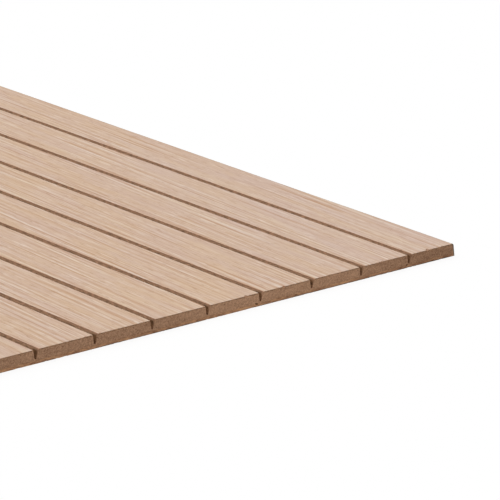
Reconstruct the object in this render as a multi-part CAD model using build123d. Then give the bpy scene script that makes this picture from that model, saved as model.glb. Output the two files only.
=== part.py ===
from build123d import *
import os
from math import radians, tan

# A tambour wall panel: a fibreboard sheet with an oak face veneer and a backing veneer.
# Tapered grooves run the whole length of the face and divide it into flat slats. They cut
# through the oak, so each slat has a strip of its own, and stop short of the back, so the
# core stays one board. The long edges lean like the grooves' sides, so that two panels
# side by side meet in one more groove, and they are rounded over at the face.
# The panel lies face up. The origin is at the middle of its back, X runs across the slats,
# Y along them and Z up through the face.

# Driving dimensions, in millimetres and degrees
slat_count = 20
slat_pitch = 30.0            # from the middle of one groove to the middle of the next
panel_length = 2400.0        # along the slats
backing_thickness = 1.2
core_thickness = 4.1
face_thickness = 0.5
web_thickness = 0.6          # core left uncut under each groove
groove_floor_width = 0.8     # flat that the cutter's tip leaves
groove_side_angle = 15.0     # each side of a groove leans out from the vertical
edge_rounding = 1.3          # radius along the top of each long edge

# Heights above the back
core_bottom = backing_thickness
core_top = core_bottom + core_thickness
face_top = core_top + face_thickness
groove_floor = core_bottom + web_thickness
clear_above = face_top + core_thickness      # where cutting areas end, clear of the face
clear_below = -core_thickness                # and clear of the back

# Places across the panel
side_slope = tan(radians(groove_side_angle))
foot_half_width = slat_count * slat_pitch / 2
head_half_width = foot_half_width - face_top * side_slope
clear_half_width = foot_half_width + slat_pitch
groove_centres = [(n - slat_count / 2) * slat_pitch for n in range(1, slat_count)]


def area(outline):
    """A flat area across the panel, with this outline of (across, height) points."""
    return make_face(Plane.XZ * Polyline(*outline, close=True))


def groove_area(centre):
    """What the cutter takes out for one groove."""
    foot = groove_floor_width / 2
    head = foot + (clear_above - groove_floor) * side_slope
    return area(
        [
            (centre - foot, groove_floor),
            (centre + foot, groove_floor),
            (centre + head, clear_above),
            (centre - head, clear_above),
        ]
    )


def panel_section():
    """The whole panel cut across: leaning, rounded edges and a groove between each two slats."""
    blank = area(
        [
            (-foot_half_width, 0),
            (foot_half_width, 0),
            (head_half_width, face_top),
            (-head_half_width, face_top),
        ]
    )
    face_corners = blank.vertices().group_by(Axis.Z)[-1]
    section = fillet(face_corners, edge_rounding)
    for centre in groove_centres:
        section -= groove_area(centre)
    return section


def layer(section, low, high):
    """The areas of a section that lie between two heights, in order across the panel."""
    band = area(
        [
            (-clear_half_width, low),
            (clear_half_width, low),
            (clear_half_width, high),
            (-clear_half_width, high),
        ]
    )
    return (section & band).faces().sort_by(Axis.X)


def along_panel(face):
    """A solid as long as the panel, with this face as its section."""
    return extrude(face, amount=panel_length / 2, both=True)


section = panel_section()
backing_veneer = along_panel(layer(section, clear_below, core_bottom)[0])
mdf_core = along_panel(layer(section, core_bottom, core_top)[0])
oak_strips = [along_panel(face) for face in layer(section, core_top, clear_above)]

os.makedirs("parts", exist_ok=True)
export_step(backing_veneer, "parts/backing_veneer.step")
export_step(mdf_core, "parts/mdf_core.step")
for number, strip in enumerate(oak_strips, start=1):
    export_step(strip, f"parts/oak_strip_{number:02d}.step")
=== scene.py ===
import math

import bmesh
import bpy
from mathutils import Matrix, Quaternion, Vector


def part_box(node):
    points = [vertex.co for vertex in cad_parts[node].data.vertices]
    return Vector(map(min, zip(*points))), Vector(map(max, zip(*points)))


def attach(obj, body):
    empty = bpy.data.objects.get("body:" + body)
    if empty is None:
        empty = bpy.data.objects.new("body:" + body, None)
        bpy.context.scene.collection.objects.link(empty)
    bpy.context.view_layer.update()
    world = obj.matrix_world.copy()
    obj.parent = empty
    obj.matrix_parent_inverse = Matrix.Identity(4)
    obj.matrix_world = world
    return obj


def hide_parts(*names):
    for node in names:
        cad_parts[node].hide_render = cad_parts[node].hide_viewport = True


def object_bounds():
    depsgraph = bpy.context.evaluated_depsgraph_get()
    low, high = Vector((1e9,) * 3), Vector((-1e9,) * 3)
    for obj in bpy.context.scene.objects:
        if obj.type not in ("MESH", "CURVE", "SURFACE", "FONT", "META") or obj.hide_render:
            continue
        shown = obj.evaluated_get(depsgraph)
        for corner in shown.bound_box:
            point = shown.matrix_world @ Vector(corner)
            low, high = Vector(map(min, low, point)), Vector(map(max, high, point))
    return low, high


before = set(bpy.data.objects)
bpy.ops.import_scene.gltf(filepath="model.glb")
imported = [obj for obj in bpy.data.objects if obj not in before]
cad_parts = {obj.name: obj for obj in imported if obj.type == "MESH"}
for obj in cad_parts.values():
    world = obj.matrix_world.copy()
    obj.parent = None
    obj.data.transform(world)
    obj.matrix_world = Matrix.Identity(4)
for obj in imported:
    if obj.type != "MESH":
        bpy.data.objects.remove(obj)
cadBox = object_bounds()
scene = bpy.context.scene
print("frame loaded:", len(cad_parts), "solids")

white = (1.0, 1.0, 1.0)


def rgba(colour):
    return (*colour, 1.0)


# Node helpers, for shapes and materials alike
def connect(tree, socket, value):  # value is another node's output, or a plain value
    if isinstance(value, bpy.types.NodeSocket):
        tree.links.new(value, socket)
    else:
        socket.default_value = value


def addNode(tree, kind, inputs, **settings):
    node = tree.nodes.new(kind)
    for name, value in settings.items():
        setattr(node, name, value)
    for key, value in inputs.items():
        connect(tree, node.inputs[key], value)
    return node


def resultOf(tree, kind, inputs, output=0, **settings):
    return addNode(tree, kind, inputs, **settings).outputs[output]


def doMath(tree, operation, first, second=0.0):
    return resultOf(tree, "ShaderNodeMath", {0: first, 1: second}, operation=operation)


def sumOf(tree, total, *others):
    for value in others:
        total = doMath(tree, "ADD", total, value)
    return total


def productOf(tree, product, *others):
    for value in others:
        product = doMath(tree, "MULTIPLY", product, value)
    return product


def difference(tree, first, second):
    return doMath(tree, "SUBTRACT", first, second)


def doVectorMath(tree, operation, first, second):
    key = "Scale" if operation == "SCALE" else 1
    return resultOf(tree, "ShaderNodeVectorMath", {0: first, key: second}, operation=operation)


# Mix has sockets of the same name for each type of data, so they are picked by number
def blendValues(tree, share, first, second):
    return resultOf(tree, "ShaderNodeMix", {0: share, 2: first, 3: second}, data_type="FLOAT")


def blendColours(tree, share, first, second):
    return resultOf(tree, "ShaderNodeMix", {0: share, 6: first, 7: second}, data_type="RGBA", output=2)


def joinXYZ(tree, x, y, z):
    return resultOf(tree, "ShaderNodeCombineXYZ", {0: x, 1: y, 2: z})


def splitXYZ(tree, vector):
    return addNode(tree, "ShaderNodeSeparateXYZ", {0: vector}).outputs


# Sizes of the pieces, read from the solids
def cornersOf(node):
    return [vertex.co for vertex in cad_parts[node].data.vertices]


def toMicron(length):
    return round(length, 6)


def heightsOf(node):
    low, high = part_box(node)
    return low.z, high.z


def crossingsAt(node, height, tolerance=2e-6):  # where a solid's long edges are, at a height
    return sorted({toMicron(corner.x) for corner in cornersOf(node) if abs(corner.z - height) < tolerance})


stripNodes = sorted(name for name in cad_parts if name.startswith("oak_strip_"))
panelLow, panelHigh = cadBox
nearEnd = panelLow.y
farEnd = panelHigh.y
faceTop = panelHigh.z
panelLength = farEnd - nearEnd
coreBottom, coreTop = heightsOf("mdf_core")
grooveFoot = sorted({toMicron(corner.z) for corner in cornersOf("mdf_core")})[1]  # next above its bottom
faceEdge = crossingsAt(stripNodes[-1], faceTop)[-1]  # where the flat face ends and its rounded edge starts
seenCorner = Vector((faceEdge, nearEnd, faceTop))  # at the right of the photo
edgeFoot = crossingsAt("backing_veneer", panelLow.z)[-1]
edgeSlope = (edgeFoot - crossingsAt("backing_veneer", coreBottom)[-1]) / coreBottom
edgeLean = math.atan(edgeSlope)


def edgeAt(height):  # half the panel's width at a height, as if its long edges were not rounded
    return edgeFoot - height * edgeSlope


# The rounding runs from the flat face into the leaning edge
edgeRadius = (edgeAt(faceTop) - faceEdge) * math.tan((math.pi / 2 + edgeLean) / 2)

# Camera, at the photo's place
photoCamera = {
    "imageSize": 500,
    "azimuth": -47.10,
    "elevation": 17.69,
    "roll": 4.70,
    "lens": 208.2,
    "sensor": 36.0,
    "cornerPixel": (451.94, 243.77),
    "cornerDistance": 1.2356,
    "farLimit": 100.0,
}


def inView(look, pixel):  # a pixel of the photo in the camera's own axes, one metre away
    pixelAngle = look["sensor"] / look["lens"] / look["imageSize"]
    middle = look["imageSize"] / 2
    return Vector(((pixel[0] - middle) * pixelAngle, (middle - pixel[1]) * pixelAngle, -1))


def makeCamera(look):
    turn = math.radians(look["azimuth"])
    rise = math.radians(look["elevation"])
    back = Vector((math.sin(turn) * math.cos(rise), -math.cos(turn) * math.cos(rise), math.sin(rise)))
    aim = (-back).to_track_quat("-Z", "Y") @ Quaternion((0, 0, 1), math.radians(look["roll"]))
    toCorner = aim @ (inView(look, look["cornerPixel"]) * look["cornerDistance"])
    data = bpy.data.cameras.new("photoCamera")
    data.lens = look["lens"]
    data.sensor_width = look["sensor"]
    data.clip_end = look["farLimit"]
    camera = bpy.data.objects.new("photoCamera", data)
    camera.matrix_world = Matrix.Translation(seenCorner - toCorner) @ aim.to_matrix().to_4x4()
    scene.collection.objects.link(camera)
    scene.camera = camera
    return camera


camera = makeCamera(photoCamera)
print("camera placed")


def seenOnEnd(pixel):  # the point of the sawn end that a pixel of the photo shows
    ray = camera.matrix_world.to_3x3() @ inView(photoCamera, pixel)
    start = camera.matrix_world.translation
    return start + ray * ((nearEnd - start.y) / ray.y)


# Materials
def newMaterial(name):
    material = bpy.data.materials.new(name)
    material.use_nodes = True
    tree = material.node_tree
    spot = tree.nodes.new("ShaderNodeTexCoord").outputs["Object"]
    return material, tree, spot


def stretchedNoise(tree, place, size, detail=2.0, roughness=0.5, shift=0.0, across=0.0):
    scale = tuple(1 / length for length in size)  # size of one blotch in metres
    start = (shift + across, shift, shift)
    mapped = resultOf(tree, "ShaderNodeMapping", {"Vector": place, "Location": start, "Scale": scale})
    inputs = {"Vector": mapped, "Scale": 1.0, "Detail": detail, "Roughness": roughness}
    return resultOf(tree, "ShaderNodeTexNoise", inputs, output="Fac")


def centred(tree, value, strength):  # a noise as a swing about nought
    return productOf(tree, difference(tree, value, 0.5), strength)


def ramped(tree, value, start, end, easing="SMOOTHSTEP"):  # 0 at start, 1 at end
    inputs = {"Value": value, "From Min": start, "From Max": end}
    return resultOf(tree, "ShaderNodeMapRange", inputs, interpolation_type=easing)


def noiseShare(tree, place, limits, **pattern):  # a noise, eased from 0 to 1 between its limits
    return ramped(tree, stretchedNoise(tree, place, **pattern), *limits)


# Evenly spaced lines, as a swing about nought with no broad bands in it: a noise less the same noise
# a step to the side, in widths of a line
def grainLines(tree, place, size, shift, step=1.15):
    first = stretchedNoise(tree, place, size, detail=0.0, shift=shift)
    second = stretchedNoise(tree, place, size, detail=0.0, shift=shift, across=step)
    return difference(tree, first, second)


def endFacing(tree, start=0.5, end=0.7):  # 1 on the sawn ends, 0 on faces that look across or up
    normal = tree.nodes.new("ShaderNodeNewGeometry").outputs["True Normal"]
    return ramped(tree, doMath(tree, "ABSOLUTE", splitXYZ(tree, normal)["Y"]), start, end)


def colourRamp(tree, value, stops):
    node = addNode(tree, "ShaderNodeValToRGB", {"Fac": value})
    elements = node.color_ramp.elements
    while len(elements) < len(stops):
        elements.new(0.5)
    for element, (position, colour) in zip(elements, stops):
        element.position = position
        element.color = rgba(colour)
    return node.outputs["Color"]


def evenRamp(tree, value, *colours):
    steps = len(colours) - 1
    return colourRamp(tree, value, [(step / steps, colour) for step, colour in enumerate(colours)])


def tinted(tree, colour, share, first, second):  # a colour times a blend of two tints
    return doVectorMath(tree, "MULTIPLY", colour, blendColours(tree, share, rgba(first), rgba(second)))


def mottled(tree, colour, noise, swing):  # a colour made lighter and darker by a noise
    return doVectorMath(tree, "SCALE", colour, sumOf(tree, centred(tree, noise, swing), 1.0))


def finishMaterial(tree, look, colour, wear, relief):
    shader = tree.nodes["Principled BSDF"]
    connect(tree, shader.inputs["Base Color"], colour)
    roughness = sumOf(tree, centred(tree, wear, look["roughnessSwing"]), look["roughness"])
    connect(tree, shader.inputs["Roughness"], roughness)
    shader.inputs["Specular IOR Level"].default_value = look["specular"]
    bumpInputs = {"Strength": look["bumpStrength"], "Distance": look["bumpDepth"], "Height": relief}
    connect(tree, shader.inputs["Normal"], resultOf(tree, "ShaderNodeBump", bumpInputs))


# a darker rim along the outline of the long edges
edgeDarkening = {
    "colour": (0.120, 0.105, 0.075),
    "width": (0.0010, 0.0003),  # in from the outline, where it starts and where it is full
    "blend": 0.0002,  # where it fades out on the flat face
    "strength": 0.75,
}


def edgeRim(tree, fromMiddle, z):  # strength of the darkening along the outline of the long edges
    arcMiddle = faceTop - edgeRadius
    isRounded = doMath(tree, "GREATER_THAN", z, arcMiddle + edgeRadius * math.sin(edgeLean))
    leaningEdge = difference(tree, edgeFoot, productOf(tree, z, edgeSlope))
    fromLeaning = difference(tree, leaningEdge, fromMiddle)
    outward = doMath(tree, "MAXIMUM", difference(tree, fromMiddle, faceEdge), 0.0)
    upward = difference(tree, z, arcMiddle)
    squares = [doMath(tree, "POWER", length, 2.0) for length in (outward, upward)]
    fromArc = difference(tree, edgeRadius, doMath(tree, "SQRT", sumOf(tree, *squares)))
    fromOutline = blendValues(tree, isRounded, fromLeaning, fromArc)
    beyondFace = ramped(tree, fromMiddle, faceEdge - edgeDarkening["blend"], faceEdge + edgeDarkening["blend"])
    return productOf(tree, ramped(tree, fromOutline, *edgeDarkening["width"]), beyondFace, edgeDarkening["strength"])


def darkenedEdge(tree, colour, fromMiddle, z, share):
    rim = productOf(tree, edgeRim(tree, fromMiddle, z), share)
    return blendColours(tree, rim, colour, rgba(edgeDarkening["colour"]))


endShade = {
    "slow": {"size": (0.050, 0.050, 0.030), "detail": 1.0, "shift": 19.6},
    "slowSwing": 0.6,
    "cornerReach": (0.065, 0.015),  # in from the long edges, where it starts and where it is full
    "cornerDrop": 0.15,
}


def shadeOfEnds(tree, spot, fromMiddle):  # slow changes of tone along the sawn ends, darker at the corners
    slow = centred(tree, stretchedNoise(tree, spot, **endShade["slow"]), endShade["slowSwing"])
    corner = ramped(tree, fromMiddle, *(panelHigh.x - reach for reach in endShade["cornerReach"]))
    return difference(tree, slow, productOf(tree, corner, endShade["cornerDrop"]))


oakLook = {
    "tan": (0.495, 0.287, 0.176),
    "beige": (0.628, 0.449, 0.331),
    "pale": (0.735, 0.602, 0.492),
    "pinkTint": (0.982, 0.985, 1.040),
    "honeyTint": (1.006, 0.994, 0.939),
    "greyTint": (0.990, 1.00, 1.028),
    "warmTint": (1.010, 1.00, 0.972),
    "streak": (0.445, 0.254, 0.152),
    "rayFleck": (0.800, 0.660, 0.560),
    "pore": (0.385, 0.197, 0.104),
    "sideGrain": (0.480, 0.270, 0.166),
    "endGrain": (0.290, 0.157, 0.082),
    "grainTilt": 0.055,  # how far the grain drifts across the slats for each metre along them
    "sway": {"size": (0.02, 0.25, 0.05)},
    "swayWidth": 0.003,
    "lines": {"size": (0.0014, 0.090, 0.01), "shift": 9.1},
    "lineSwing": 0.62,
    "fineLines": {"size": (0.0008, 0.060, 0.01), "shift": 6.4},
    "fineLineSwing": 0.48,
    "patches": {"size": (0.009, 0.070, 0.02), "detail": 1.0, "shift": 8.8, "limits": (0.36, 0.64)},
    "patchSwing": (0.35, 1.45),  # strength of the lines, in calm and in lively patches
    "rings": {"size": (0.0035, 0.200, 0.01), "detail": 1.5, "limits": (0.30, 0.70)},
    "ringSwing": 0.08,
    "fibre": {"size": (0.0005, 0.012, 0.01), "roughness": 0.6, "shift": 3.1},
    "fibreSwing": 0.5,
    "tint": {
        "size": (0.008, 0.045, 0.02),
        "detail": 4.0,
        "roughness": 0.65,
        "shift": 7.7,
        "limits": (0.34, 0.66),
    },
    "broadTint": {"size": (0.200, 0.300, 0.2), "detail": 0.0, "shift": 27.7, "limits": (0.40, 0.70)},
    "dashes": {  # short marks along the grain
        "streak": {"size": (0.0008, 0.018, 0.01), "detail": 1.0, "shift": 2.6, "limits": (0.62, 0.76)},
        "rayFleck": {"size": (0.0008, 0.014, 0.01), "detail": 1.0, "shift": 5.3, "limits": (0.60, 0.72)},
        "pore": {"size": (0.00035, 0.0050, 0.01), "detail": 1.0, "shift": 1.9, "limits": (0.60, 0.70)},
    },
    "dashStrength": {"streak": 0.40, "rayFleck": 0.50, "pore": 0.50},
    "edgeTone": {"size": (0.0010, 0.0026, 0.0005), "roughness": 0.6, "shift": 6.6},
    "edgeSwing": (1.6, 2.8),  # on the grooves' sides and on the sawn ends
    "sawnDepth": (0.00002, 0.00007),  # below the face, where the sawn look starts and where it is full
    "roundedBlend": 0.0002,
    "darkeningShare": (0.5, 1.0),  # along the panel and on the sawn ends
    "roughness": 0.56,
    "roughnessSwing": 0.25,
    "specular": 0.2,
    "fibreRelief": 0.5,
    "bumpStrength": 0.25,
    "bumpDepth": 0.00006,
}


def oakVeneer(look):
    material, tree, spot = newMaterial("oakVeneer")
    x, y, z = splitXYZ(tree, spot)
    fromMiddle = doMath(tree, "ABSOLUTE", x)
    onEnd = endFacing(tree)
    # the grain runs a little askew to the slats and sways
    sway = centred(tree, stretchedNoise(tree, spot, **look["sway"]), look["swayWidth"])
    drift = difference(tree, sway, productOf(tree, y, look["grainTilt"]))
    grain = doVectorMath(tree, "ADD", spot, joinXYZ(tree, drift, 0.0, 0.0))
    lines = productOf(tree, grainLines(tree, grain, **look["lines"]), look["lineSwing"])
    fineLines = productOf(tree, grainLines(tree, grain, **look["fineLines"]), look["fineLineSwing"])
    liveliness = blendValues(tree, noiseShare(tree, grain, **look["patches"]), *look["patchSwing"])
    rings = centred(tree, noiseShare(tree, grain, **look["rings"]), look["ringSwing"])
    fibre = stretchedNoise(tree, grain, **look["fibre"])
    figure = productOf(tree, sumOf(tree, lines, fineLines), liveliness)
    figure = sumOf(tree, figure, rings, centred(tree, fibre, look["fibreSwing"]), 0.5)
    colour = evenRamp(tree, figure, look["tan"], look["beige"], look["pale"])
    tintShare = noiseShare(tree, grain, **look["tint"])
    colour = tinted(tree, colour, tintShare, look["pinkTint"], look["honeyTint"])
    broadShare = noiseShare(tree, spot, **look["broadTint"])
    colour = tinted(tree, colour, broadShare, look["greyTint"], look["warmTint"])
    marks = {name: noiseShare(tree, grain, **pattern) for name, pattern in look["dashes"].items()}
    for name, share in marks.items():
        strength = productOf(tree, share, look["dashStrength"][name])
        colour = blendColours(tree, strength, colour, rgba(look[name]))
    edge = blendColours(tree, onEnd, rgba(look["sideGrain"]), rgba(look["endGrain"]))
    edgeSwing = blendValues(tree, onEnd, *look["edgeSwing"])
    edge = mottled(tree, edge, stretchedNoise(tree, spot, **look["edgeTone"]), edgeSwing)
    # the rounded long edges are sanded through lengthwise grain, not sawn
    rounded = ramped(tree, fromMiddle, faceEdge - look["roundedBlend"], faceEdge)
    sanded = productOf(tree, rounded, difference(tree, 1.0, onEnd))
    belowFace = ramped(tree, z, *(faceTop - depth for depth in look["sawnDepth"]))
    sawn = productOf(tree, belowFace, difference(tree, 1.0, sanded))
    colour = blendColours(tree, sawn, colour, edge)
    colour = darkenedEdge(tree, colour, fromMiddle, z, blendValues(tree, onEnd, *look["darkeningShare"]))
    relief = difference(tree, productOf(tree, fibre, look["fibreRelief"]), marks["pore"])
    finishMaterial(tree, look, colour, fibre, relief)
    return material


fibreboardLook = {
    "dark": (0.190, 0.098, 0.055),
    "middle": (0.390, 0.222, 0.131),
    "pale": (0.590, 0.350, 0.215),
    "lowTint": (1.00, 0.96, 0.92),
    "glueLine": (0.110, 0.052, 0.026),
    "grooveTop": (0.550, 0.338, 0.210),
    "grooveUpper": (0.500, 0.306, 0.192),
    # painted shade, for the deep part of the groove walls
    "grooveShade": (0.190, 0.096, 0.046),
    "fibre": {"size": (0.0010, 0.0010, 0.0008), "roughness": 0.6},
    "fibreSwing": 1.2,
    "patches": {"size": (0.009, 0.009, 0.0025), "shift": 2.3},
    "patchSwing": 0.5,
    "dust": {"size": (0.0005, 0.0005, 0.0004), "roughness": 0.6, "shift": 8.2},
    "dustSwing": 1.2,
    "lowReach": 0.0006,  # up from the backing
    "glue": {"size": (0.0030, 0.0030, 0.0004), "detail": 1.0, "shift": 3.3, "limits": (0.58, 0.66)},
    "glueReach": (0.0003, 0.0001),  # up from the backing, where it starts and where it is full
    "glueStrength": 0.6,
    "deepShare": 0.66,  # of a wall's height, up to which it is dark with painted shade
    "upperShare": 0.83,  # and from which it is light
    "mouthShade": (0.006, 0.002),  # in from the sawn ends, where the painted shade starts to reach higher
    "mouthShadeRise": 0.16,  # and how much higher, as a share of the wall
    "mottle": {"size": (0.0010, 0.0026, 0.0005), "roughness": 0.6, "shift": 4.7},
    "mottleSwing": 2.2,
    "mouthLightReach": (0.0002, 0.0016),  # how far in the walls look sawn, as painted light, at their foot and at their top
    "mouthBlend": 0.0003,
    "outerEdge": (0.0025, 0.0030),  # in from the panel's sides, where the leaning edges end
    "roughness": 0.9,
    "roughnessSwing": 0.15,
    "specular": 0.1,
    "bumpStrength": 0.4,
    "bumpDepth": 0.0001,
}


def fibreboard(look):
    material, tree, spot = newMaterial("fibreboard")
    x, y, z = splitXYZ(tree, spot)
    fromMiddle = doMath(tree, "ABSOLUTE", x)
    onEnd = endFacing(tree)
    fibre = stretchedNoise(tree, spot, **look["fibre"])
    patches = stretchedNoise(tree, spot, **look["patches"])
    dust = stretchedNoise(tree, spot, **look["dust"])
    swings = [
        centred(tree, fibre, look["fibreSwing"]),
        centred(tree, patches, look["patchSwing"]),
        centred(tree, dust, look["dustSwing"]),
        shadeOfEnds(tree, spot, fromMiddle),
    ]
    tone = sumOf(tree, *swings, 0.5)
    sawn = evenRamp(tree, tone, look["dark"], look["middle"], look["pale"])
    low = ramped(tree, z, coreBottom + look["lowReach"], coreBottom)
    sawn = tinted(tree, sawn, low, white, look["lowTint"])
    nearBacking = ramped(tree, z, *(coreBottom + reach for reach in look["glueReach"]))
    glue = productOf(tree, nearBacking, noiseShare(tree, spot, **look["glue"]), look["glueStrength"])
    sawn = blendColours(tree, glue, sawn, rgba(look["glueLine"]))
    sawn = darkenedEdge(tree, sawn, fromMiddle, z, onEnd)
    # groove walls: light near the face, dark below with painted shade, and sawn where they meet the end,
    # reaching further in near the face as painted light
    fromEnd = difference(tree, panelLength / 2, doMath(tree, "ABSOLUTE", y))
    nearMouth = ramped(tree, fromEnd, *look["mouthShade"])
    rise = ramped(tree, z, grooveFoot, coreTop, easing="LINEAR")
    rise = difference(tree, rise, productOf(tree, nearMouth, look["mouthShadeRise"]))
    stops = [(0.0, look["grooveShade"]), (look["deepShare"], look["grooveShade"])]
    stops += [(look["upperShare"], look["grooveUpper"]), (1.0, look["grooveTop"])]
    wall = colourRamp(tree, rise, stops)
    wall = mottled(tree, wall, stretchedNoise(tree, spot, **look["mottle"]), look["mottleSwing"])
    # painted light: near the open ends the walls take the sawn end's colour, further in towards the top
    riseSquared = doMath(tree, "POWER", doMath(tree, "MAXIMUM", rise, 0.0), 2.0)
    reach = blendValues(tree, riseSquared, *look["mouthLightReach"])
    mouth = ramped(tree, difference(tree, reach, fromEnd), -look["mouthBlend"], look["mouthBlend"])
    wall = blendColours(tree, mouth, wall, sawn)
    # the walls are neither sawn ends nor the long outer edges
    inner = ramped(tree, fromMiddle, *(panelHigh.x - width for width in look["outerEdge"]))
    isWall = productOf(tree, inner, difference(tree, 1.0, onEnd))
    finishMaterial(tree, look, blendColours(tree, isWall, sawn, wall), fibre, tone)
    return material


backingLook = {
    "dark": (0.200, 0.090, 0.042),
    "middle": (0.396, 0.207, 0.111),
    "orange": (0.640, 0.350, 0.176),
    # painted contact shade, along the foot of the sawn ends
    "footShade": (0.075, 0.052, 0.034),
    "grain": {"size": (0.0024, 0.030, 0.0005), "detail": 3.0, "roughness": 0.6},
    "grainSwing": 1.5,
    "band": {"size": (0.012, 0.200, 0.01), "shift": 4.4},
    "bandSwing": 0.7,
    "speckle": {"size": (0.0040, 0.0040, 0.0009), "detail": 3.0, "roughness": 0.65, "shift": 5.7},
    "speckleSwing": 1.9,
    "dashes": {"size": (0.0022, 0.0022, 0.0004), "roughness": 0.6, "shift": 3.3},
    "dashSwing": 1.1,
    "patches": {"size": (0.020, 0.020, 0.01), "detail": 1.0, "shift": 67.6},
    "patchSwing": 1.2,
    "footShadeLimits": (-0.12, 0.16),
    "footShadeReach": (0.00045, 0.00010),  # up from the back, where it starts and where it is full
    "footShadeStrength": 0.85,
    "roughness": 0.8,
    "roughnessSwing": 0.2,
    "specular": 0.2,
    "bumpStrength": 0.3,
    "bumpDepth": 0.00008,
}


def backingVeneer(look):
    material, tree, spot = newMaterial("backingVeneer")
    place = splitXYZ(tree, spot)
    fromMiddle = doMath(tree, "ABSOLUTE", place["X"])
    onEnd = endFacing(tree)
    grain = stretchedNoise(tree, spot, **look["grain"])
    band = stretchedNoise(tree, spot, **look["band"])
    speckle = stretchedNoise(tree, spot, **look["speckle"])
    endTone = sumOf(tree, centred(tree, speckle, look["speckleSwing"]), shadeOfEnds(tree, spot, fromMiddle))
    tone = sumOf(tree, centred(tree, grain, look["grainSwing"]), centred(tree, band, look["bandSwing"]))
    tone = sumOf(tree, tone, productOf(tree, endTone, onEnd), 0.5)
    colour = evenRamp(tree, tone, look["dark"], look["middle"], look["orange"])
    # painted contact shade: the foot of the sawn ends, where they meet the floor, is dark, in dashes that
    # gather in patches
    dashes = centred(tree, stretchedNoise(tree, spot, **look["dashes"]), look["dashSwing"])
    patches = centred(tree, stretchedNoise(tree, spot, **look["patches"]), look["patchSwing"])
    footShade = ramped(tree, sumOf(tree, dashes, patches), *look["footShadeLimits"])
    nearBack = ramped(tree, place["Z"], *look["footShadeReach"])
    footShade = productOf(tree, footShade, nearBack, onEnd, look["footShadeStrength"])
    colour = blendColours(tree, footShade, colour, rgba(look["footShade"]))
    colour = darkenedEdge(tree, colour, fromMiddle, place["Z"], onEnd)
    finishMaterial(tree, look, colour, grain, grain)
    return material


oak = oakVeneer(oakLook)
board = fibreboard(fibreboardLook)
backing = backingVeneer(backingLook)
print("materials made")


# Shapes: trees of geometry nodes
def inputsOf(kind, *labels):
    return {label: kind for label in labels}


def newTree(name, inputs, isModifier=False):
    tree = bpy.data.node_groups.new(name, "GeometryNodeTree")
    tree.is_modifier = isModifier
    for label, kind in inputs.items():
        tree.interface.new_socket(label, in_out="INPUT", socket_type="NodeSocket" + kind)
    tree.interface.new_socket("Mesh", in_out="OUTPUT", socket_type="NodeSocketGeometry")
    return tree, tree.nodes.new("NodeGroupInput").outputs, tree.nodes.new("NodeGroupOutput").inputs["Mesh"]


def addGroup(tree, group, inputs):
    return resultOf(tree, "GeometryNodeGroup", inputs, node_tree=group)


barSizes = ("Foot Width", "Head Width", "Length", "Thickness", "Arris")

edgeWander = {
    "waves": 28.0,  # in a metre
    "laneStep": 3.7,  # gives each bar a wander of its own
}


def leaningBarGroup():  # a long bar whose two sides lean, with a small chamfer along its top arrises
    inputs = inputsOf("Float", *barSizes, "Wander") | inputsOf("Int", "Rows", "Seed")
    tree, given, result = newTree("leaningBar", inputs)
    thickness = given["Thickness"]
    boxInputs = {
        "Size": joinXYZ(tree, given["Foot Width"], given["Length"], thickness),
        "Vertices Y": sumOf(tree, given["Rows"], 1.0),
        "Vertices Z": 3,  # foot, shoulder and top
    }
    box = resultOf(tree, "GeometryNodeMeshCube", boxInputs, output="Mesh")
    x, y, z = splitXYZ(tree, tree.nodes.new("GeometryNodeInputPosition").outputs[0])
    quarter = productOf(tree, thickness, 0.25)
    isTop = doMath(tree, "GREATER_THAN", z, quarter)
    isAboveFoot = doMath(tree, "GREATER_THAN", z, productOf(tree, quarter, -1.0))
    shoulder = difference(tree, thickness, given["Arris"])
    height = blendValues(tree, isTop, productOf(tree, shoulder, isAboveFoot), thickness)
    share = doMath(tree, "DIVIDE", height, thickness)
    width = blendValues(tree, share, given["Foot Width"], given["Head Width"])
    inset = productOf(tree, isTop, given["Arris"])
    halfWidth = difference(tree, productOf(tree, width, 0.5), inset)
    side = doMath(tree, "SIGN", x)
    lane = sumOf(tree, productOf(tree, given["Seed"], edgeWander["laneStep"]), side)
    along = productOf(tree, y, edgeWander["waves"])
    noiseInputs = {"Vector": joinXYZ(tree, along, lane, 0.0), "Scale": 1.0}
    noise = resultOf(tree, "ShaderNodeTexNoise", noiseInputs, output="Fac")
    newX = sumOf(tree, productOf(tree, side, halfWidth), centred(tree, noise, given["Wander"]))
    movedInputs = {"Geometry": box, "Position": joinXYZ(tree, newX, y, height)}
    connect(tree, result, resultOf(tree, "GeometryNodeSetPosition", movedInputs))
    return tree


chipRule = {
    "sizeRange": (0.4, 1.3),  # shares of the size given
    "spread": 0.4,  # away from the line, as a share of the size given
    "turn": 0.5,  # radians, at most
    "seedStep": 100,  # from one line of chips to the next
    "drawSeeds": {"place": 11, "stray": 23, "size": 37, "turn": 51},  # keep the draws apart
}


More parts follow.
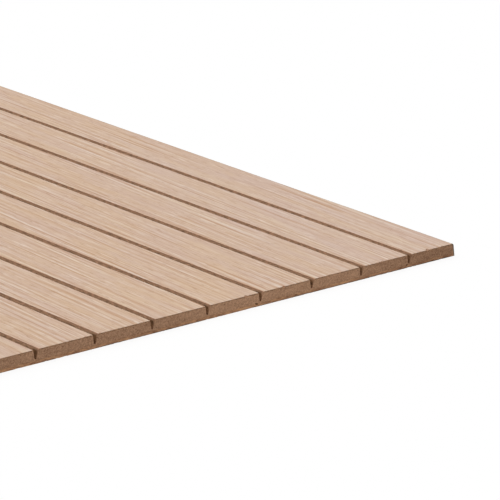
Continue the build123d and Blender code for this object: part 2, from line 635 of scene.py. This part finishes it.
def scatteredChipsGroup():  # rough little lumps strewn along a line, to be cut out of an edge
    inputs = inputsOf("Vector", "Start", "End", "Spread", "Size", "Turn") | inputsOf("Int", "Count", "Seed")
    tree, given, result = newTree("scatteredChips", inputs)

    def seedOf(draw):
        return sumOf(tree, given["Seed"], chipRule["drawSeeds"][draw])

    # Random Value has sockets of the same name for each type too
    def randomVector(draw, low, high):
        limits = {0: (low,) * 3, 1: (high,) * 3, "Seed": seedOf(draw)}
        return resultOf(tree, "FunctionNodeRandomValue", limits, data_type="FLOAT_VECTOR")

    limits = {2: 0.0, 3: 1.0, "Seed": seedOf("place")}
    share = resultOf(tree, "FunctionNodeRandomValue", limits, data_type="FLOAT", output=1)
    span = doVectorMath(tree, "SUBTRACT", given["End"], given["Start"])
    onLine = doVectorMath(tree, "ADD", given["Start"], doVectorMath(tree, "SCALE", span, share))
    stray = doVectorMath(tree, "MULTIPLY", given["Spread"], randomVector("stray", -1.0, 1.0))
    spot = doVectorMath(tree, "ADD", onLine, stray)
    size = doVectorMath(tree, "MULTIPLY", given["Size"], randomVector("size", *chipRule["sizeRange"]))
    turn = doVectorMath(tree, "MULTIPLY", given["Turn"], randomVector("turn", -1.0, 1.0))
    points = resultOf(tree, "GeometryNodePoints", {"Count": given["Count"], "Position": spot})
    lump = resultOf(tree, "GeometryNodeMeshIcoSphere", {"Radius": 1.0, "Subdivisions": 1}, output="Mesh")
    lumpInputs = {"Points": points, "Instance": lump, "Scale": size, "Rotation": turn}
    connect(tree, result, resultOf(tree, "GeometryNodeInstanceOnPoints", lumpInputs))
    return tree


leaningBar = leaningBarGroup()
scatteredChips = scatteredChipsGroup()


def joined(tree, meshes):
    node = tree.nodes.new("GeometryNodeJoinGeometry")
    for mesh in meshes:
        tree.links.new(mesh, node.inputs[0])
    return node.outputs[0]


def placed(tree, mesh, place):
    return resultOf(tree, "GeometryNodeTransform", {"Geometry": mesh, "Translation": place})


def trimmed(tree, body, cutters):
    inputs = {"Mesh 1": body, "Mesh 2": cutters}
    settings = {"operation": "DIFFERENCE", "solver": "MANIFOLD"}
    return resultOf(tree, "GeometryNodeMeshBoolean", inputs, output="Mesh", **settings)


def dressed(tree, mesh, material):
    realized = resultOf(tree, "GeometryNodeRealizeInstances", {"Geometry": mesh})
    flatInputs = {"Geometry": realized, "Shade Smooth": False}
    flat = resultOf(tree, "GeometryNodeSetShadeSmooth", flatInputs)
    return resultOf(tree, "GeometryNodeSetMaterial", {"Geometry": flat, "Material": material})


def finishPiece(tree, given, body, cutters, place):  # the body less its cutters and the cuts given with it
    body = placed(tree, body, place)
    cutters = placed(tree, joined(tree, cutters), place)
    return dressed(tree, trimmed(tree, body, joined(tree, [cutters, given["Cuts"]])), given["Material"])


def veneerTree():  # a strip or sheet of veneer, less the chips of its edges
    inputs = inputsOf("Geometry", "Cuts") | inputsOf("Material", "Material")
    inputs |= inputsOf("Float", *barSizes, "Wander", "Middle", "Height", "Chip Height")
    inputs |= inputsOf("Int", "Rows", "End Chips", "Side Chips", "Seed")
    inputs |= inputsOf("Vector", "End Chip Size", "Side Chip Size")
    tree, given, result = newTree("veneer", inputs, isModifier=True)
    barInputs = {label: given[label] for label in (*barSizes, "Wander", "Rows", "Seed")}
    bar = addGroup(tree, leaningBar, barInputs)
    right = productOf(tree, given["Head Width"], 0.5)
    far = productOf(tree, given["Length"], 0.5)
    left = productOf(tree, right, -1.0)
    near = productOf(tree, far, -1.0)
    lines = [
        ("End", (left, near), (right, near)),
        ("End", (left, far), (right, far)),
        ("Side", (left, near), (left, far)),
        ("Side", (right, near), (right, far)),
    ]
    # each chip is turned about the line that it lies on
    turns = {"End": (chipRule["turn"], 0.0, 0.0), "Side": (0.0, chipRule["turn"], 0.0)}
    chips = []
    for number, (kind, start, end) in enumerate(lines):
        chipInputs = {
            "Start": joinXYZ(tree, *start, given["Chip Height"]),
            "End": joinXYZ(tree, *end, given["Chip Height"]),
            "Spread": doVectorMath(tree, "SCALE", given[kind + " Chip Size"], chipRule["spread"]),
            "Count": given[kind + " Chips"],
            "Size": given[kind + " Chip Size"],
            "Turn": turns[kind],
            "Seed": sumOf(tree, given["Seed"], number * chipRule["seedStep"]),
        }
        chips.append(addGroup(tree, scatteredChips, chipInputs))
    place = joinXYZ(tree, given["Middle"], 0.0, given["Height"])
    connect(tree, result, finishPiece(tree, given, bar, chips, place))
    return tree


grooveCutter = {
    "overcut": 1.25,  # its height, in depths of the groove
    "overrun": 1.01,  # its length, in lengths of the panel
}


def groovedBoardTree():  # the board, less one cutter bar for each groove and the pits of its sawn ends
    inputs = inputsOf("Geometry", "Cuts") | inputsOf("Material", "Material")
    inputs |= inputsOf("Float", *barSizes, "Height")
    inputs |= inputsOf("Float", "Groove Floor", "Groove Mouth", "Groove Depth", "Groove Pitch")
    inputs |= inputsOf("Int", "Rows", "Grooves", "End Pits", "Seed") | inputsOf("Vector", "Pit Size")
    tree, given, result = newTree("groovedBoard", inputs, isModifier=True)
    bar = addGroup(tree, leaningBar, {label: given[label] for label in (*barSizes, "Rows")})
    flare = difference(tree, given["Groove Mouth"], given["Groove Floor"])
    cutterInputs = {
        "Foot Width": given["Groove Floor"],
        "Head Width": sumOf(tree, given["Groove Floor"], productOf(tree, flare, grooveCutter["overcut"])),
        "Length": productOf(tree, given["Length"], grooveCutter["overrun"]),
        "Thickness": productOf(tree, given["Groove Depth"], grooveCutter["overcut"]),
        "Arris": given["Arris"],
        "Rows": 1,
    }
    cutter = addGroup(tree, leaningBar, cutterInputs)
    gaps = difference(tree, given["Grooves"], 1.0)
    firstGroove = productOf(tree, gaps, given["Groove Pitch"], -0.5)
    floorHeight = difference(tree, given["Thickness"], given["Groove Depth"])
    lineInputs = {
        "Count": given["Grooves"],
        "Start Location": joinXYZ(tree, firstGroove, 0.0, floorHeight),
        "Offset": joinXYZ(tree, given["Groove Pitch"], 0.0, 0.0),
    }
    line = resultOf(tree, "GeometryNodeMeshLine", lineInputs)
    cutters = [resultOf(tree, "GeometryNodeInstanceOnPoints", {"Points": line, "Instance": cutter})]
    right = productOf(tree, given["Head Width"], 0.5)
    left = productOf(tree, right, -1.0)
    halfHeight = productOf(tree, given["Thickness"], 0.5)
    for number, side in enumerate((-0.5, 0.5)):  # near end and far end
        end = productOf(tree, given["Length"], side)
        pitInputs = {
            "Start": joinXYZ(tree, left, end, halfHeight),
            "End": joinXYZ(tree, right, end, halfHeight),
            "Spread": joinXYZ(tree, 0.0, 0.0, halfHeight),
            "Count": given["End Pits"],
            "Size": given["Pit Size"],
            "Turn": (chipRule["turn"],) * 3,
            "Seed": sumOf(tree, given["Seed"], number * chipRule["seedStep"]),
        }
        cutters.append(addGroup(tree, scatteredChips, pitInputs))
    place = joinXYZ(tree, 0.0, 0.0, given["Height"])
    connect(tree, result, finishPiece(tree, given, bar, cutters, place))
    return tree


veneer = veneerTree()
groovedBoard = groovedBoardTree()


def shapedPiece(name, tree, values, cuts):
    piece = bpy.data.objects.new(name, cuts)
    scene.collection.objects.link(piece)
    modifier = piece.modifiers.new("shape", "NODES")
    modifier.node_group = tree
    sockets = {item.name: item.identifier for item in tree.interface.items_tree if item.in_out == "INPUT"}
    for label, value in values.items():
        modifier[sockets[label]] = value
    depsgraph = bpy.context.evaluated_depsgraph_get()
    mesh = bpy.data.meshes.new_from_object(piece.evaluated_get(depsgraph))
    mesh.name = name
    mesh.materials.clear()  # the cut leaves an empty slot
    mesh.materials.append(values["Material"])
    piece.modifiers.remove(modifier)
    piece.data = mesh
    return piece


# Cuts with places of their own
longEdge = {
    "arcSteps": 8,
    "clearance": 0.002,  # how far the cutter reaches outside the panel
}


def addRounding(mesh, side):  # what the rounding leaves out of one long edge, as a bar along the panel
    outline = []
    for step in range(longEdge["arcSteps"] + 1):
        angle = math.pi / 2 - (math.pi / 2 - edgeLean) * step / longEdge["arcSteps"]
        across = faceEdge + edgeRadius * math.cos(angle)
        outline.append((across, faceTop - edgeRadius + edgeRadius * math.sin(angle)))
    outer = edgeFoot + longEdge["clearance"]
    above = faceTop + longEdge["clearance"]
    outline += [(outer, outline[-1][1]), (outer, above), (faceEdge, above)]
    reach = panelLength / 2 + longEdge["clearance"]
    near = [mesh.verts.new((side * across, -reach, height)) for across, height in outline]
    far = [mesh.verts.new((side * across, reach, height)) for across, height in outline]
    faces = [mesh.faces.new(near), mesh.faces.new(far)]
    for here in range(len(outline)):
        after = (here + 1) % len(outline)
        faces.append(mesh.faces.new((near[here], near[after], far[after], far[here])))
    bmesh.ops.recalc_face_normals(mesh, faces=faces)


lumpTurn = {
    "most": 0.5,  # radians
    "waves": 40.0,  # turns each lump differently, by its place across the panel
}


def addLump(mesh, centre, size):  # a rough lump that breaks a chip out of an edge
    turn = lumpTurn["most"] * math.sin(centre.x * lumpTurn["waves"])
    shape = Matrix.Translation(centre) @ Matrix.Rotation(turn, 4, "Y") @ Matrix.Diagonal((*size, 1))
    bmesh.ops.create_icosphere(mesh, subdivisions=1, radius=1, matrix=shape)


def cutsMesh(name, roundedSides, lumps):
    mesh = bmesh.new()
    for side in roundedSides:
        addRounding(mesh, side)
    for centre, size in lumps:
        addLump(mesh, centre, size)
    data = bpy.data.meshes.new(name)
    mesh.to_mesh(data)
    mesh.free()
    return data


stripShape = {
    "arris": 0.00012,
    "wander": 0.00012,
    "rows": 160,
    "endChips": 6,
    "endChipSize": (0.0007, 0.0004, 0.0002),
    "sideChips": 30,
    "sideChipSize": (0.00012, 0.0025, 0.00012),
    "nicks": {  # sizes of those in the near end, by their pixel in the photo
        (428.0, 249.4): (0.0011, 0.0014, 0.0007),
        (284.0, 286.0): (0.0009, 0.0009, 0.0005),
        (246.0, 296.0): (0.0009, 0.0009, 0.0005),
    },
    "farNickSize": (0.0009, 0.0009, 0.0005),
    "farNickStep": 0.618,  # moves the nick of the far end across from strip to strip
    "seedStep": 1000,
}


def makeStrip(number, node):
    bottom, top = heightsOf(node)
    foot = crossingsAt(node, bottom)
    head = crossingsAt(node, top)
    roundedSides = []
    if node == stripNodes[0]:
        foot[0], head[0] = -edgeAt(bottom), -edgeAt(top)
        roundedSides = [-1]
    if node == stripNodes[-1]:
        foot[-1], head[-1] = edgeAt(bottom), edgeAt(top)
        roundedSides = [1]
    headWidth = head[-1] - head[0]
    values = {
        "Foot Width": foot[-1] - foot[0],
        "Head Width": headWidth,
        "Length": panelLength,
        "Thickness": top - bottom,
        "Arris": stripShape["arris"],
        "Wander": stripShape["wander"],
        "Rows": stripShape["rows"],
        "Middle": (foot[0] + foot[-1]) / 2,
        "Height": bottom,
        "Chip Height": top - bottom,
        "End Chips": stripShape["endChips"],
        "End Chip Size": stripShape["endChipSize"],
        "Side Chips": stripShape["sideChips"],
        "Side Chip Size": stripShape["sideChipSize"],
        "Seed": stripShape["seedStep"] * number,
        "Material": oak,
    }
    nicks = [(seenOnEnd(pixel).x, size) for pixel, size in stripShape["nicks"].items()]
    lumps = [(Vector((x, nearEnd, top)), size) for x, size in nicks if head[0] < x < head[-1]]
    farShare = number * stripShape["farNickStep"] % 1
    lumps.append((Vector((head[0] + farShare * headWidth, farEnd, top)), stripShape["farNickSize"]))
    cuts = cutsMesh("stripCuts", roundedSides, lumps)
    return shapedPiece(f"oak_veneer_{number:02d}", veneer, values, cuts)


for number, node in enumerate(stripNodes, start=1):
    strip = makeStrip(number, node)
    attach(strip, "root")
    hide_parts(node)
print("oak strips made:", len(stripNodes))

jointPits = {  # small hollows in the near end, where the board meets its backing
    "pixels": ((406.7, 264.2), (256.5, 304.6)),
    "size": (0.0011, 0.0022, 0.00036),
}


def pitLumps():
    places = [Vector((seenOnEnd(pixel).x, nearEnd, coreBottom)) for pixel in jointPits["pixels"]]
    return [(place, jointPits["size"]) for place in places]


coreShape = {
    "arris": 0.00002,
    "rows": 48,
    "endPits": 40,
    "pitSize": (0.0005, 0.0003, 0.0003),
    "seed": 55,
}


def makeCore(node):
    bottom, top = heightsOf(node)
    head = crossingsAt(node, top)
    floors = crossingsAt(node, grooveFoot)
    grooves = len(floors) // 2
    values = {
        "Foot Width": 2 * edgeAt(bottom),
        "Head Width": 2 * edgeAt(top),
        "Length": panelLength,
        "Thickness": top - bottom,
        "Arris": coreShape["arris"],
        "Rows": coreShape["rows"],
        "Height": bottom,
        "Grooves": grooves,
        "Groove Pitch": (floors[-2] - floors[0]) / (grooves - 1),
        "Groove Floor": floors[1] - floors[0],
        "Groove Mouth": head[2] - head[1],
        "Groove Depth": top - grooveFoot,
        "End Pits": coreShape["endPits"],
        "Pit Size": coreShape["pitSize"],
        "Seed": coreShape["seed"],
        "Material": board,
    }
    cuts = cutsMesh("coreCuts", (-1, 1), pitLumps())
    return shapedPiece("fibreboard_core", groovedBoard, values, cuts)


core = makeCore("mdf_core")
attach(core, "root")
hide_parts("mdf_core")
print("core made:", len(core.data.polygons), "faces")

backingShape = {
    "arris": 0.00002,
    "rows": 48,
    "endChips": 90,
    "endChipSize": (0.0015, 0.0003, 0.00010),
    "sideChips": 60,
    "sideChipSize": (0.0002, 0.004, 0.0001),
    "cornerSize": (0.0012, 0.0008, 0.0003),  # of the chips at the two far corners
    "seed": 77,
}


def makeBacking(node):
    bottom, top = heightsOf(node)
    values = {
        "Foot Width": 2 * edgeAt(bottom),
        "Head Width": 2 * edgeAt(top),
        "Length": panelLength,
        "Thickness": top - bottom,
        "Arris": backingShape["arris"],
        "Wander": 0.0,
        "Rows": backingShape["rows"],
        "Middle": 0.0,
        "Height": bottom,
        "Chip Height": 0.0,
        "End Chips": backingShape["endChips"],
        "End Chip Size": backingShape["endChipSize"],
        "Side Chips": backingShape["sideChips"],
        "Side Chip Size": backingShape["sideChipSize"],
        "Seed": backingShape["seed"],
        "Material": backing,
    }
    corners = [Vector((side * edgeFoot, farEnd, bottom)) for side in (-1, 1)]
    lumps = [(corner, backingShape["cornerSize"]) for corner in corners] + pitLumps()
    cuts = cutsMesh("backingCuts", (), lumps)
    return shapedPiece("back_veneer", veneer, values, cuts)


back = makeBacking("backing_veneer")
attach(back, "root")
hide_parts("backing_veneer")
print("backing made:", len(back.data.polygons), "faces")

# Studio: pale floor, even light from above
studio = {
    "floorSize": 80.0,
    "floorGrey": 0.8,
    "skyLow": 0.10,  # light from all round
    "skyHigh": 1.80,  # light added from straight above
    "shadowLift": 0.85,  # how much of the floor's shadow is lifted to white for the camera
}


def seenByCamera(tree):  # 1 for what the camera sees, straight or mirrored
    path = tree.nodes.new("ShaderNodeLightPath").outputs
    mirrored = doMath(tree, "MAXIMUM", path["Is Glossy Ray"], path["Is Transmission Ray"])
    return doMath(tree, "MAXIMUM", path["Is Camera Ray"], mirrored)


def makeFloor(look):
    half = look["floorSize"] / 2
    corners = [(-half, -half, 0), (half, -half, 0), (half, half, 0), (-half, half, 0)]
    mesh = bpy.data.meshes.new("floor")
    mesh.from_pydata(corners, [], [(0, 1, 2, 3)])
    floor = bpy.data.objects.new("floor", mesh)
    scene.collection.objects.link(floor)
    material = bpy.data.materials.new("floor")
    material.use_nodes = True
    tree = material.node_tree
    tree.nodes.clear()
    seen = seenByCamera(tree)
    grey = (look["floorGrey"],) * 3
    colour = blendColours(tree, seen, rgba(grey), rgba(white))
    diffuse = resultOf(tree, "ShaderNodeBsdfDiffuse", {"Color": colour})
    glow = resultOf(tree, "ShaderNodeEmission", {"Color": rgba(white), "Strength": 1.0})
    lift = productOf(tree, seen, look["shadowLift"])
    mixed = resultOf(tree, "ShaderNodeMixShader", {0: lift, 1: diffuse, 2: glow})
    addNode(tree, "ShaderNodeOutputMaterial", {"Surface": mixed})
    mesh.materials.append(material)


def makeSky(look):
    world = bpy.data.worlds.new("studio")
    world.use_nodes = True
    tree = world.node_tree
    tree.nodes.clear()
    direction = tree.nodes.new("ShaderNodeTexCoord").outputs["Generated"]
    rise = doMath(tree, "MAXIMUM", splitXYZ(tree, direction)["Z"], 0.0)
    overhead = doMath(tree, "POWER", rise, 2.0)
    level = sumOf(tree, productOf(tree, overhead, look["skyHigh"]), look["skyLow"])
    strength = blendValues(tree, seenByCamera(tree), level, 1.0)
    skyInputs = {"Color": rgba(white), "Strength": strength}
    background = resultOf(tree, "ShaderNodeBackground", skyInputs)
    addNode(tree, "ShaderNodeOutputWorld", {"Surface": background})
    scene.world = world


makeFloor(studio)
makeSky(studio)
scene.view_settings.view_transform = "Standard"
print("studio set")
